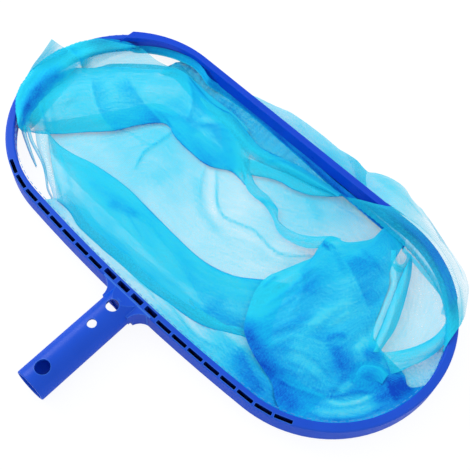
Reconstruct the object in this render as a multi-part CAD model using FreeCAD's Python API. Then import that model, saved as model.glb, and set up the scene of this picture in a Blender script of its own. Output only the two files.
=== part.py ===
import FreeCAD, Part
import math
import os

# Leaf skimmer net lying on a floor, mouth up.
# Frame of the part: origin on the floor under the middle of the frame, +X along the long axis,
# +Y from the handle towards the front lip, +Z up. Lengths in millimetres.

# Frame rim, seen from above: two round ends, a gently bowed handle side and a straight lip side.
# It is widest along the handle side, and a rebate runs along the foot of its inner wall
frame_length = 433.0
handle_side_y = 108.0
handle_side_bow = 4.5
lip_side_y = 99.0
rim_width = 8.5
rim_width_at_end = 7.0
rim_width_at_lip = 4.6
rim_height = 19.5
rim_lift = 2.0
rim_edge_round = 1.6
rim_rebate_height = 5.0
rim_rebate_depth = 2.4

# Pockets cored out of the handle side between thin ribs
pocket_pitch = 16.3
pocket_rib = 2.0
pocket_width = 3.1
pocket_inset = 2.6
pocket_depth = 13.0
pockets_each_side = 8
middle_pockets_each_side = 2
middle_pocket_pitch = 15.2
middle_pocket_rib = 3.6
middle_pocket_width = 4.2
middle_pocket_inset = 4.6
pocket_corner_round = 0.8

# Tubular handle, moulded with the rim. It is a piece of its own here, up to the rim's outer wall
handle_length = 97.0
handle_radius = 14.0
handle_wall = 2.3
handle_mouth_round = 1.0
handle_gusset_radius = 12.0
gusset_foot_overlap = 0.5
handle_root_slope = 12.0
handle_underside_step = 6.0
bore_end_wall = 6.5
release_hole_radius = 6.0
release_hole_from_mouth = 14.5
small_hole_radius = 3.8
small_hole_from_mouth = 62.7
large_hole_radius = 5.2
large_hole_from_mouth = 83.5
underside_window_start = 48.0
underside_window_end = 89.0
underside_window_height = 9.0

# Front lip, a strip pressed into a groove in the rim and standing above it
lip_inset = 1.2
lip_rise = 5.0
lip_tongue = 1.8
lip_tongue_depth = 6.0
lip_leg = 1.3
lip_leg_drop = 9.0
lip_leg_length = 212.0
lip_end_from_frame_end = 29.5
lip_end_slope = 3.6
groove_clearance = 0.1
lip_edge_round = 0.7

# Net: one bag with a doubled hem
fabric_clearance = 0.3
hem_thickness = 0.6
hem_bottom = 7.5
hem_below_rim_top = 0.6
wrap_bottom = 9.0
wrap_lip_gap = 1.0
wrap_side_slack = 10.0
left_wrap_start_y = -50.0
left_wrap_end_y = 45.0
left_wrap_end_lean = 15.0
right_wrap_start_y = 45.0
bag_wall = 1.2
bag_wall_top = 10.5

# Folds of the collapsed bag inside the rim. Each is a smooth ridge: x and y of both ends of its crest,
# its reach to each side and its height above the bag's floor
left_end_fold = (-176.0, -22.0, -158.0, 38.0, 56.0, 11.0)
far_fold = (-130.0, 60.0, -60.0, 58.0, 44.0, 10.0)
far_roll = (-140.0, 78.0, -40.0, 70.0, 16.0, 3.5)
wing_fold = (38.0, 82.0, 58.0, 86.0, 24.0, 6.0)
near_flap = (-142.0, -64.0, -50.0, -62.0, 36.0, 5.5)
near_flap_end = (44.0, -60.0, 70.0, -56.0, 34.0, 5.5)
right_heap = (92.0, 18.0, 130.0, -44.0, 62.0, 12.6)
strap_fold = (138.0, 70.0, 166.0, 4.0, 17.0, 7.5)
outer_strap_fold = (172.0, 4.0, 194.0, 50.0, 16.0, 7.0)
fold_blend = 3.0
bag_edge_reach = 14.0
gap_edge_reach = 8.0
gap_left_x = -34.0
gap_right_x = 24.0
gap_slope = 16.0
surface_pitch = 8.0

# Part of the bag that lies outside the rim, beyond the lip side and round the right end
spill_height = 5.0
spill_rim_clearance = 0.5
spill_start_x = -80.0
spill_shallow_x = -20.0
spill_shallow_reach = 21.0
spill_dip_x = 40.0
spill_dip_reach = 23.0
spill_peak_x = 84.0
spill_peak_reach = 33.0
spill_turn_from_end = 92.0
spill_turn_reach = 22.0
spill_bulge_from_end = 39.0
spill_bulge_below_lip = 5.0
spill_end_from_end = 22.0
spill_end_below_lip = 37.0
spill_root_depth = 14.0

# Sewing along the hem
stitch_length = 3.4
stitch_pitch = 6.2
stitch_height = 0.6
stitch_thickness = 0.4
stitch_below_hem_top = 1.6
stitch_clearance = 0.05

half_length = frame_length / 2
lip_half_length = half_length - lip_end_from_frame_end
rim_top = rim_lift + rim_height
handle_mouth_y = -handle_side_y - handle_length
handle_axis_z = handle_radius
up = FreeCAD.Vector(0, 0, 1)


def vec(x, y, z=0.0):
    return FreeCAD.Vector(x, y, z)


def arc(centre, radius, start, end):
    """Arc edge about a centre, by its start and end angles in radians."""
    def on(angle):
        return vec(centre.x + radius * math.cos(angle), centre.y + radius * math.sin(angle))
    return Part.Arc(on(start), on((start + end) / 2), on(end)).toShape()


def handle_side_curve(side_inset, end_inset):
    """Radius and centre of the bowed handle side, those of its corner, and the angle where they meet."""
    side_y = handle_side_y - side_inset
    corner_radius = side_y - handle_side_bow
    corner_x = half_length - end_inset - corner_radius
    radius = (corner_x ** 2 + side_y ** 2 - corner_radius ** 2) / (2 * handle_side_bow)
    centre = vec(0, radius - side_y)
    meet = math.atan2(-centre.y, corner_x)
    return radius, centre, corner_radius, vec(corner_x, 0), meet


def outline(side_inset, end_inset=None, lip_side_inset=None):
    """Closed wire of the rim's plan, moved inwards by one inset or by three: handle side, ends, lip side."""
    if end_inset is None:
        end_inset = side_inset
        lip_side_inset = side_inset
    radius, centre, corner_radius, corner, meet = handle_side_curve(side_inset, end_inset)
    end_x = half_length - end_inset
    lip_y = lip_side_y - lip_side_inset
    lip_corner = vec(end_x - lip_y, 0)
    straight = Part.LineSegment(vec(lip_corner.x, lip_y), vec(-lip_corner.x, lip_y)).toShape()
    return Part.Wire([
        arc(centre, radius, math.pi - meet - 2 * math.pi, meet),
        arc(corner, corner_radius, meet, 0),
        arc(lip_corner, lip_y, 0, math.pi / 2),
        straight,
        arc(vec(-lip_corner.x, 0), lip_y, math.pi / 2, math.pi),
        arc(vec(-corner.x, 0), corner_radius, math.pi, math.pi - meet),
    ])


def rim_inset(extra=0.0):
    """The three insets of a line that runs along the rim's inner wall, moved further inwards."""
    return rim_width + extra, rim_width_at_end + extra, rim_width_at_lip + extra


def plate(wire, bottom, top):
    """Solid between two heights with the given plan."""
    face = Part.Face(wire)
    face.translate(vec(0, 0, bottom))
    return face.extrude(vec(0, 0, top - bottom))


def band(outer, inner, bottom, top):
    """Ring between two plans, each one inset or three."""
    outer_wire = outline(*outer)
    inner_wire = outline(*inner)
    return plate(outer_wire, bottom, top).cut(plate(inner_wire, bottom, top))


def block(x0, x1, y0, y1, z0, z1):
    """Box between two corners."""
    return Part.makeBox(x1 - x0, y1 - y0, z1 - z0, vec(x0, y0, z0))


def prism(points, bottom, top):
    """Solid with a polygon as its plan."""
    return plate(Part.makePolygon([vec(*p) for p in points + points[:1]]), bottom, top)


def edges_at(shape, height):
    """Edges that lie flat at one height."""
    return [e for e in shape.Edges if all(abs(v.Z - height) < 0.01 for v in e.Vertexes)]


def along_handle_side(distance, side_inset, end_inset):
    """Point and direction on the handle side, a distance to the right of the middle along it."""
    radius, centre, corner_radius, corner, meet = handle_side_curve(side_inset, end_inset)
    reach = (meet + math.pi / 2) * radius
    side = math.copysign(1, distance)
    run = abs(distance)
    if run <= reach:
        angle = -math.pi / 2 + run / radius
        point = vec(centre.x + radius * math.cos(angle), centre.y + radius * math.sin(angle))
    else:
        angle = meet + (run - reach) / corner_radius
        point = vec(corner.x + corner_radius * math.cos(angle), corner_radius * math.sin(angle))
    turn = math.degrees(angle + math.pi / 2)
    return vec(point.x * side, point.y), turn * side


def pocket(distance, length, width, inset):
    """Round-cornered pocket cutter, sunk from the rim's top."""
    point, turn = along_handle_side(distance, inset, inset)
    cutter = Part.makeBox(length, width, pocket_depth + 1, vec(-length / 2, -width / 2))
    uprights = [e for e in cutter.Edges if abs(e.Vertexes[0].Z - e.Vertexes[-1].Z) > pocket_depth]
    cutter = cutter.makeFillet(pocket_corner_round, uprights)
    cutter.rotate(vec(0, 0), up, turn)
    cutter.translate(vec(point.x, point.y, rim_top - pocket_depth))
    return cutter


def pockets():
    """All pocket cutters: a middle group at the handle's root and a longer row on each side of it."""
    cutters = []
    middle_length = middle_pocket_pitch - middle_pocket_rib
    middle_reach = middle_pockets_each_side * middle_pocket_pitch
    for side in (-1, 1):
        for i in range(middle_pockets_each_side):
            place = side * (i + 0.5) * middle_pocket_pitch
            cutters.append(pocket(place, middle_length, middle_pocket_width, middle_pocket_inset))
        for i in range(pockets_each_side):
            place = side * (middle_reach + (i + 0.5) * pocket_pitch)
            length = pocket_pitch - pocket_rib
            cutters.append(pocket(place, length, pocket_width, pocket_inset))
    return cutters


def rim_ring():
    """The rim before its pockets and groove, with rounded top edges and the rebate at its inner foot."""
    ring = band((0,), rim_inset(), rim_lift, rim_top)
    ring = ring.makeFillet(rim_edge_round, edges_at(ring, rim_top))
    rebate = band(rim_inset(-rim_rebate_depth), rim_inset(1), rim_lift - 1, rim_lift + rim_rebate_height)
    return ring.cut(rebate)


def handle_tube():
    """Solid handle with its sloped root, before it is bored."""
    root_y = -handle_side_y + rim_width / 2
    start = vec(0, handle_mouth_y, handle_axis_z)
    tube = Part.makeCylinder(handle_radius, root_y - handle_mouth_y, start, vec(0, 1, 0))
    mouth = [e for e in tube.Edges if e.Closed and abs(e.CenterOfMass.y - handle_mouth_y) < 0.01]
    tube = tube.makeFillet(handle_mouth_round, mouth)
    over = max(2 * handle_radius, rim_top) + 1
    slope = Part.makePolygon([
        vec(0, root_y + 1, rim_top), vec(0, -handle_side_y + 1, rim_top),
        vec(0, -handle_side_y - handle_root_slope, over),
        vec(0, root_y + 1, over), vec(0, root_y + 1, rim_top)])
    slope_cut = Part.Face(slope).extrude(vec(2 * handle_radius + 2, 0, 0))
    slope_cut.translate(vec(-handle_radius - 1, 0, 0))
    step_y = -handle_side_y - handle_underside_step
    below_rim = block(-handle_radius, handle_radius, step_y, root_y + 1, -1, rim_lift)
    return tube.cut([slope_cut, below_rim])


def gusset():
    """Concave web on both sides of the handle's root."""
    reach = handle_radius + handle_gusset_radius
    back_y = -handle_side_y + rim_width / 2
    foot_y = -handle_side_y + gusset_foot_overlap
    low_y = foot_y - handle_gusset_radius
    web = block(-reach, reach, low_y, back_y, rim_lift, rim_top)
    for side in (-1, 1):
        start = vec(side * reach, low_y, rim_lift - 1)
        web = web.cut(Part.makeCylinder(handle_gusset_radius, rim_height + 2, start))
    return web


def cross_hole(radius, from_mouth):
    """Cutter for a round hole in the handle's top wall."""
    return Part.makeCylinder(radius, handle_radius + 2, vec(0, handle_mouth_y + from_mouth, handle_axis_z))


def handle_cuts():
    """Bore, cross holes in the handle's top and the open window in its underside."""
    bore_end = -handle_side_y - bore_end_wall
    bore = Part.makeCylinder(handle_radius - handle_wall, bore_end - handle_mouth_y + 1,
                             vec(0, handle_mouth_y - 1, handle_axis_z), vec(0, 1, 0))
    window = block(-handle_radius - 1, handle_radius + 1, handle_mouth_y + underside_window_start,
                   handle_mouth_y + underside_window_end, -1, underside_window_height)
    return [
        bore,
        window,
        cross_hole(release_hole_radius, release_hole_from_mouth),
        cross_hole(small_hole_radius, small_hole_from_mouth),
        cross_hole(large_hole_radius, large_hole_from_mouth),
    ]


def handle():
    """The moulding's tubular handle and its webs, up to the rim's outer wall."""
    body = handle_tube().fuse(gusset()).cut(rim_ring())
    return body.cut(handle_cuts()).removeSplitter()


def lip_stretch(half_run, extra=0.0):
    """Block over the lip side, with ends that slope inwards as they rise."""
    foot = rim_top - lip_tongue_depth
    peak = rim_top + lip_rise
    lean = lip_end_slope * (peak + 1 - rim_top) / lip_rise
    base = half_run + extra
    profile = Part.makePolygon([
        vec(-base, 0, foot - 1), vec(base, 0, foot - 1), vec(base, 0, rim_top),
        vec(base - lean, 0, peak + 1), vec(-base + lean, 0, peak + 1), vec(-base, 0, rim_top),
        vec(-base, 0, foot - 1)])
    return Part.Face(profile).extrude(vec(0, lip_side_y + 5, 0))


def lip_groove():
    """Groove in the rim's top that takes the lip's tongue."""
    outer = lip_inset - groove_clearance
    inner = lip_inset + lip_tongue + groove_clearance
    ring = band((outer,), (inner,), rim_top - lip_tongue_depth, rim_top + 1)
    return ring.common(lip_stretch(lip_half_length, groove_clearance))


def rim():
    """The moulding's oval rim, with its pockets and the groove for the lip."""
    return rim_ring().cut(pockets() + [lip_groove()])


def front_lip():
    """Strip along the front: tongue in the groove, raised cap and a leg behind the rim's inner wall."""
    peak = rim_top + lip_rise
    leg_inner = rim_inset(fabric_clearance * 2 + hem_thickness + lip_leg)
    leg_outer = rim_inset(fabric_clearance * 2 + hem_thickness)
    cap = band((lip_inset,), leg_inner, rim_top, peak)
    cap = cap.common(lip_stretch(lip_half_length))
    long_edges = [e for e in edges_at(cap, peak) if e.Length > 2 * rim_width]
    cap = cap.makeFillet(lip_edge_round, long_edges)
    tongue = band((lip_inset,), (lip_inset + lip_tongue,), rim_top - lip_tongue_depth, rim_top + 1)
    tongue = tongue.common(lip_stretch(lip_half_length))
    leg = band(leg_outer, leg_inner, rim_top - lip_leg_drop, rim_top + 1)
    half_leg = lip_leg_length / 2
    leg = leg.common(block(-half_leg, half_leg, 0, lip_side_y, 0, peak))
    return cap.fuse([tongue, leg]).removeSplitter()


def hem_wrap(region):
    """Hem folded over the rim where the region lies: outer wall, top and inner wall."""
    gap = fabric_clearance
    skin = gap + hem_thickness
    shell = band((-skin,), rim_inset(skin), wrap_bottom, rim_top + skin)
    core = band((-gap,), rim_inset(gap), wrap_bottom - 1, rim_top + gap)
    return shell.cut(core).common(prism(region, 0, rim_top + 5))


def net_hem():
    """Doubled hem: a band along the rim's inner wall, folded over the rim at both ends."""
    inner = rim_inset(fabric_clearance + hem_thickness)
    ring = band(rim_inset(fabric_clearance), inner, hem_bottom, rim_top - hem_below_rim_top)
    wrap_x = lip_half_length + wrap_lip_gap
    far = half_length + wrap_side_slack
    left = [(-far, left_wrap_start_y), (-wrap_x, left_wrap_start_y - rim_width),
            (-wrap_x, left_wrap_end_y + left_wrap_end_lean), (-far, left_wrap_end_y - left_wrap_end_lean)]
    right = [(far, right_wrap_start_y), (wrap_x, right_wrap_start_y - rim_width),
             (wrap_x, lip_side_y), (far, lip_side_y)]
    return ring.fuse([hem_wrap(left), hem_wrap(right)]).removeSplitter()


def fold_height(x, y, fold):
    """Height of one ridge above the bag's floor at a place."""
    x0, y0, x1, y1, reach, height = fold
    along = ((x - x0) * (x1 - x0) + (y - y0) * (y1 - y0)) / ((x1 - x0) ** 2 + (y1 - y0) ** 2)
    along = min(1, max(0, along))
    away = math.hypot(x - x0 - along * (x1 - x0), y - y0 - along * (y1 - y0))
    return height * max(0, 1 - (away / reach) ** 2) ** 2


def inside_wall(x, y, insets):
    """Distance from the bag's outline to a place inside it."""
    side_inset, end_inset, lip_inset_here = insets
    if y > 0:
        return lip_side_y - lip_inset_here - math.hypot(
            max(0, abs(x) - (half_length - end_inset - lip_side_y + lip_inset_here)), y)
    radius, centre, corner_radius, corner, meet = handle_side_curve(side_inset, end_inset)
    if abs(x) > corner.x:
        return corner_radius - math.hypot(abs(x) - corner.x, y)
    return y - centre.y + math.sqrt(radius ** 2 - x ** 2)


def bag_height(x, y, insets):
    """Height of the collapsed bag's upper side: its folds, the open gap between them and its raised edge."""
    folds = (left_end_fold, far_fold, far_roll, wing_fold, near_flap, near_flap_end, right_heap, strap_fold,
             outer_strap_fold)
    beside_gap = min(1, max(0, max(gap_left_x - x, x - gap_right_x) / gap_slope))
    kept = beside_gap ** 2 * (3 - 2 * beside_gap)
    depth = max(-gap_edge_reach / 2, inside_wall(x, y, insets))
    reach = gap_edge_reach + kept * (bag_edge_reach - gap_edge_reach)
    edge = (bag_wall_top - bag_wall) * max(0, 1 - depth / reach) ** 2
    heights = [kept * fold_height(x, y, fold) for fold in folds] + [edge]
    return bag_wall + (sum(height ** fold_blend for height in heights) + 1e-3) ** (1 / fold_blend) - 0.1


def bag_below(insets):
    """Everything below the collapsed bag's upper side, which is one smooth surface."""
    across = int(half_length / surface_pitch) + 1
    deep = int(handle_side_y / surface_pitch) + 1
    rows = [
        [vec(i * surface_pitch, j * surface_pitch, bag_height(i * surface_pitch, j * surface_pitch, insets))
         for j in range(-deep, deep + 1)]
        for i in range(-across, across + 1)
    ]
    surface = Part.BSplineSurface()
    surface.interpolate(rows)
    return surface.toShape().extrude(vec(0, 0, -2 * rim_top))


def spill():
    """Cloth outside the rim: a flat lobe along the lip side and round the right end."""
    root = vec(spill_start_x, lip_side_y - spill_root_depth)
    shallow = vec(spill_shallow_x, lip_side_y + spill_shallow_reach)
    dip = vec(spill_dip_x, lip_side_y + spill_dip_reach)
    peak = vec(spill_peak_x, lip_side_y + spill_peak_reach)
    turn = vec(half_length - spill_turn_from_end, lip_side_y + spill_turn_reach)
    bulge = vec(half_length - spill_bulge_from_end, lip_side_y - spill_bulge_below_lip)
    end = vec(half_length - spill_end_from_end, lip_side_y - spill_end_below_lip)
    plan = Part.Wire([
        Part.Arc(root, shallow, dip).toShape(),
        Part.Arc(dip, peak, turn).toShape(),
        Part.Arc(turn, bulge, end).toShape(),
        Part.LineSegment(end, root).toShape(),
    ])
    inside_rim = plate(outline(-spill_rim_clearance), bag_wall, spill_height + 1)
    return plate(plan, 0, spill_height).cut(inside_rim)


def net_bag():
    """The collapsed bag: broad folds inside the rim that rise to the hem, and the lobe that spills out."""
    insets = rim_inset(fabric_clearance + hem_thickness)
    inside = plate(outline(*insets), 0, rim_top).common(bag_below(insets))
    return inside.fuse(spill()).removeSplitter()


def hem_stitches():
    """Thread dashes along the hem's inner face, from one folded end to the other."""
    face = fabric_clearance + hem_thickness + stitch_clearance + stitch_thickness / 2
    bottom = rim_top - hem_below_rim_top - stitch_below_hem_top
    dashes = []
    count = int((half_length + handle_side_y) / stitch_pitch)
    for i in range(-count, count + 1):
        point, turn = along_handle_side(i * stitch_pitch, rim_width + face, rim_width_at_end + face)
        if point.x > 0:
            under_fold = point.y > right_wrap_start_y - rim_width
        else:
            under_fold = point.y > left_wrap_start_y - rim_width
        if under_fold:
            continue
        corner = vec(-stitch_length / 2, -stitch_thickness / 2)
        dash = Part.makeBox(stitch_length, stitch_thickness, stitch_height, corner)
        dash.rotate(vec(0, 0), up, turn)
        dash.translate(vec(point.x, point.y, bottom))
        dashes.append(dash)
    return Part.makeCompound(dashes)


def export(name, shape):
    """Write one piece and print its solids, volume and size."""
    solids = shape.Solids
    if len(solids) == 1:
        shape = solids[0]
    box = shape.optimalBoundingBox(False, False)
    print(f"{name}: {len(solids)} solid(s), valid {shape.isValid()}, volume {shape.Volume:.0f}")
    print(f"  x {box.XMin:.1f} to {box.XMax:.1f}, y {box.YMin:.1f} to {box.YMax:.1f}, "
          f"z {box.ZMin:.1f} to {box.ZMax:.1f}")
    shape.exportStep(f"parts/{name}.step")


os.makedirs("parts", exist_ok=True)
export("rim", rim())
export("handle", handle())
export("front_lip", front_lip())
export("net_hem", net_hem())
export("net_bag", net_bag())
export("hem_stitches", hem_stitches())
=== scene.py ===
import math

import bpy
import numpy as np
from mathutils import Matrix, Vector, noise


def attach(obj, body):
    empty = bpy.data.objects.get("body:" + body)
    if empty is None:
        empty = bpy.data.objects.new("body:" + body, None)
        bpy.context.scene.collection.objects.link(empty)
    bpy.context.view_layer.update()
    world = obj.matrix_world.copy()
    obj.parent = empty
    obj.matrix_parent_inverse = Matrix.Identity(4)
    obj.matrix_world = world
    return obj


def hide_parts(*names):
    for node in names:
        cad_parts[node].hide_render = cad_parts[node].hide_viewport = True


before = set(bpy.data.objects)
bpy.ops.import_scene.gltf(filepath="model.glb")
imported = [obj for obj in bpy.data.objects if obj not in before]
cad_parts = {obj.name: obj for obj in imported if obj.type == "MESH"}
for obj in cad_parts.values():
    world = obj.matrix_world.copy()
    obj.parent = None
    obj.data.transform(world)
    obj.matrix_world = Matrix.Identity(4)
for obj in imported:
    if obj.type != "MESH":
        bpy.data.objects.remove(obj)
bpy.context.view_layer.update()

# The viewpoint. The net lies mouth up on a table and is seen from the handle's right, well above it,
# through a fairly long lens. Every place named below as a pixel of the photograph is found from here.
photo_width = 470
mm_per_metre = 1000
lens_in_pixels = 897.45
sensor_width_mm = 36.0
view_bearing = math.radians(-50.6)
view_tilt = math.radians(27.61)
view_roll = math.radians(47.92)
view_distance = 0.72002
view_target = Vector((0.0222, -0.00974, 0.0215))

view_back = Vector((
    math.sin(view_tilt) * math.cos(view_bearing),
    math.sin(view_tilt) * math.sin(view_bearing),
    math.cos(view_tilt),
))
level_up = Vector((0, 1, 0))
level_up = (level_up - view_back * view_back.dot(level_up)).normalized()
level_right = level_up.cross(view_back)
view_right = math.cos(view_roll) * level_right + math.sin(view_roll) * level_up
view_up = math.cos(view_roll) * level_up - math.sin(view_roll) * level_right
view_place = view_target + view_back * view_distance

camera_data = bpy.data.cameras.new("camera")
camera_data.sensor_width = sensor_width_mm
camera_data.lens = lens_in_pixels * sensor_width_mm / photo_width
camera_data.clip_start = 0.01
camera = bpy.data.objects.new("camera", camera_data)
camera.matrix_world = Matrix((
    (view_right.x, view_up.x, view_back.x, view_place.x),
    (view_right.y, view_up.y, view_back.y, view_place.y),
    (view_right.z, view_up.z, view_back.z, view_place.z),
    (0, 0, 0, 1),
))
bpy.context.scene.collection.objects.link(camera)
bpy.context.scene.camera = camera


def photo_spot(pixel, height_mm):
    """Place that shows at a pixel of the photograph and lies at a height above the floor."""
    across = (pixel[0] - photo_width / 2) / lens_in_pixels
    down = (pixel[1] - photo_width / 2) / lens_in_pixels
    ray = view_right * across - view_up * down - view_back
    reach = (height_mm / mm_per_metre - view_place.z) / ray.z
    return view_place + ray * reach


# The moulding: one injection-moulded piece of blue polypropylene, with the oval rim, its cored pockets
# and the tubular handle. Its finish is a clean gloss with soft mottling, a painted highlight that lightens
# its rounded edges, and painted shade that darkens the deep pockets.
def node_maker(material):
    """A function that adds a shader node of a kind, sets its inputs and returns it."""
    tree = material.node_tree

    def add(kind, *inputs, **settings):
        node = tree.nodes.new(kind)
        for name, value in settings.items():
            setattr(node, name, value)
        for place, value in inputs:
            socket = node.inputs[place]
            if isinstance(value, bpy.types.NodeSocket):
                tree.links.new(value, socket)
            else:
                socket.default_value = value
        return node
    return add


def new_material(name):
    """An empty node material, with its node adding function and its Principled shader."""
    material = bpy.data.materials.new(name)
    material.use_nodes = True
    shader = next(n for n in material.node_tree.nodes if n.type == "BSDF_PRINCIPLED")
    return material, node_maker(material), shader


def moulded_plastic(name, colour, painted_shade_colour, highlight_colour, least_roughness):
    """Glossy moulded plastic: faint orange peel, soft mottling, painted edge highlight, painted recess
    shade.
    """
    mottle_lift = 1.25
    mottle_grey = 0.004
    highlight_edge_radius = 0.0011
    recess_width = 0.006
    haze_spread = 0.16
    peel_depth = 0.0004
    material, add, shader = new_material(name)
    link = material.node_tree.links.new
    place = add("ShaderNodeTexCoord").outputs["Object"]
    mottle = add("ShaderNodeTexNoise", ("Vector", place), ("Scale", 45.0), ("Detail", 3.0))
    tone = add("ShaderNodeMix", ("Factor", mottle.outputs["Fac"]), data_type="RGBA")
    tone.inputs["A"].default_value = (*colour, 1)
    tone.inputs["B"].default_value = (*[min(1, c * mottle_lift + mottle_grey) for c in colour], 1)
    # Painted highlight: rounded edges are mixed towards a paler blue, as if they caught the light.
    rounded = add("ShaderNodeBevel", ("Radius", highlight_edge_radius), samples=4)
    edge = add("ShaderNodeVectorMath", (0, rounded.outputs["Normal"]),
               (1, add("ShaderNodeNewGeometry").outputs["Normal"]), operation="DOT_PRODUCT")
    painted_highlight = add("ShaderNodeMapRange", ("Value", edge.outputs["Value"]),
                 ("From Min", 0.99), ("From Max", 0.85), ("To Max", 0.45))
    highlighted = add("ShaderNodeMix", ("Factor", painted_highlight.outputs["Result"]), data_type="RGBA")
    link(tone.outputs["Result"], highlighted.inputs["A"])
    highlighted.inputs["B"].default_value = (*highlight_colour, 1)
    # Painted shade: ambient occlusion darkens pockets, corners and recesses towards a near-black blue.
    shade = add("ShaderNodeAmbientOcclusion", ("Distance", recess_width), samples=8)
    shade.only_local = True
    depth = add("ShaderNodeMapRange", ("Value", shade.outputs["AO"]),
                ("From Min", 0.12), ("From Max", 0.62))
    painted_recess_shade = add("ShaderNodeMix", ("Factor", depth.outputs["Result"]), data_type="RGBA")
    painted_recess_shade.inputs["A"].default_value = (*painted_shade_colour, 1)
    link(highlighted.outputs["Result"], painted_recess_shade.inputs["B"])
    link(painted_recess_shade.outputs["Result"], shader.inputs["Base Color"])
    haze = add("ShaderNodeTexNoise", ("Vector", place), ("Scale", 160.0), ("Detail", 4.0))
    roughness = add("ShaderNodeMapRange", ("Value", haze.outputs["Fac"]),
                    ("To Min", least_roughness), ("To Max", least_roughness + haze_spread))
    link(roughness.outputs["Result"], shader.inputs["Roughness"])
    peel = add("ShaderNodeTexNoise", ("Vector", place), ("Scale", 700.0), ("Detail", 2.0))
    bump = add("ShaderNodeBump", ("Height", peel.outputs["Fac"]),
               ("Strength", 0.12), ("Distance", peel_depth))
    link(bump.outputs["Normal"], shader.inputs["Normal"])
    shader.inputs["IOR"].default_value = 1.49
    facing = add("ShaderNodeLayerWeight", ("Blend", 0.5))
    gleam = add("ShaderNodeMapRange", ("Value", facing.outputs["Facing"]),
                ("From Min", 0.2), ("From Max", 0.7), ("To Min", 0.24), ("To Max", 0.02))
    link(gleam.outputs["Result"], shader.inputs["Specular IOR Level"])
    return material


def finish_node(node, material):
    """Gives the whole of a node one material."""
    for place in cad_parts[node].material_slots:
        place.material = material


moulding_blue = (0.003, 0.072, 0.60)
# Painted shade colour of the moulding's pockets and recesses.
moulding_painted_shade = (0.0, 0.0, 0.03)
# Painted highlight colour of the moulding's rounded edges.
moulding_painted_highlight = (0.09, 0.34, 0.90)
moulding_roughness = 0.28
moulding_plastic = moulded_plastic(
    "moulding_blue_plastic", moulding_blue, moulding_painted_shade, moulding_painted_highlight, moulding_roughness)
for node in ("rim", "handle"):
    finish_node(node, moulding_plastic)

# The front lip: a darker blue strip with a tongue that is pressed into the rim's groove. It stands proud
# of the rim, scrapes along the pool's floor and wall, and has a painted highlight on its crown's edges.
lip_blue = (0.0, 0.055, 0.60)
# Painted shade colour of the lip's recesses.
lip_painted_shade = (0.0, 0.0, 0.06)
# Painted highlight colour of the lip's rounded edges.
lip_painted_highlight = (0.04, 0.20, 0.85)
lip_roughness = 0.22
lip_plastic = moulded_plastic("front_lip_plastic", lip_blue, lip_painted_shade, lip_painted_highlight, lip_roughness)
finish_node("front_lip", lip_plastic)

# The net's hem: its upper edge, turned over twice and sewn, which runs round the inner wall of the rim and
# under the lip. It is the same fine cyan polyester netting as the bag, and its fold shows as a thin line.
def blend(first, last, start, end, now):
    """The value at a moment between a start and an end, on a straight line between two values."""
    return (first * (end - now) + last * (now - start)) / (end - start)


def smooth_through(knots, counts):
    """Rows on smooth curves through rows of knots, with so many steps between each two of them."""
    gaps = np.linalg.norm(np.diff(knots[..., :3], axis=0), axis=-1).mean(axis=1) ** 0.5 + 1e-6
    times = np.concatenate([[-gaps[0], 0], np.cumsum(gaps), [gaps.sum() + gaps[-1]]])
    knots = np.concatenate([[2 * knots[0] - knots[1]], knots, [2 * knots[-1] - knots[-2]]])
    rows = []
    for index, count in enumerate(counts):
        time = times[index:index + 4]
        knot = knots[index:index + 4]
        for now in time[1] + (time[2] - time[1]) * np.arange(count) / count:
            three = [blend(knot[k], knot[k + 1], time[k], time[k + 1], now) for k in range(3)]
            two = [blend(three[k], three[k + 1], time[k], time[k + 2], now) for k in range(2)]
            rows.append(blend(two[0], two[1], time[1], time[2], now))
    rows.append(knots[-2])
    return np.array(rows)


def evenly(line, count):
    """The same line again, with so many points at even distances."""
    along = np.concatenate([[0], np.cumsum(np.linalg.norm(np.diff(line[:, :3], axis=0), axis=1))])
    at = np.linspace(0, along[-1], count)
    return np.stack([np.interp(at, along, line[:, k]) for k in range(line.shape[1])], axis=1)


def spread_along(values, count):
    """One value or several, spread evenly over so many places."""
    values = np.atleast_1d(np.array(values, float))
    return np.interp(np.linspace(0, 1, count), np.linspace(0, 1, len(values)), values)


def rail_line(layers, heights_mm, pixels):
    """A smooth line that shows at pixels of the photograph, with its heights and the layers along it."""
    steps = 12
    count = len(pixels)
    heights = spread_along(heights_mm, count)
    knots = [
        [*photo_spot(pixel, height), layer]
        for pixel, height, layer in zip(pixels, heights, spread_along(layers, count))
    ]
    return smooth_through(np.array(knots)[:, None, :], [steps] * (count - 1))[:, 0]


def turned_edge(rails, index, roll):
    """Three rails in place of one, so that the cloth turns back there in a small round fold."""
    fold_reach = 1.4
    edge = rails[index]
    made = []
    for neighbour, side in ((rails[index - 1], 1), (rails[index + 1], -1)):
        way = neighbour[:, :2] - edge[:, :2]
        way /= np.linalg.norm(way, axis=1, keepdims=True) + 1e-9
        beside = edge.copy()
        beside[:, :2] += way * roll * fold_reach
        beside[:, 2] += side * roll
        beside[:, 3] = neighbour[:, 3]
        made.append(beside)
    return [made[0], edge, made[1]]


def beside_line(points, height_mm, pixels):
    """Each point's distance in mm to a line, its side of it, and how far in from its ends it lies."""
    ridge_points = 70
    end_points = 12
    ridge = evenly(rail_line(1, height_mm, pixels), ridge_points)[:, :2]
    tangent = np.gradient(ridge, axis=0)
    flat = points[..., :2].reshape(-1, 2)
    away = np.linalg.norm(flat[:, None] - ridge[None], axis=2)
    nearest = away.argmin(axis=1)
    off = flat - ridge[nearest]
    way = tangent[nearest]
    side = np.sign(way[:, 0] * off[:, 1] - way[:, 1] * off[:, 0])
    inner = np.clip(np.minimum(nearest, ridge_points - 1 - nearest) / end_points, 0, 1)
    shape = points.shape[:-1]
    away_mm = away.min(axis=1) * mm_per_metre
    return away_mm.reshape(shape), side.reshape(shape), inner.reshape(shape)


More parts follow.
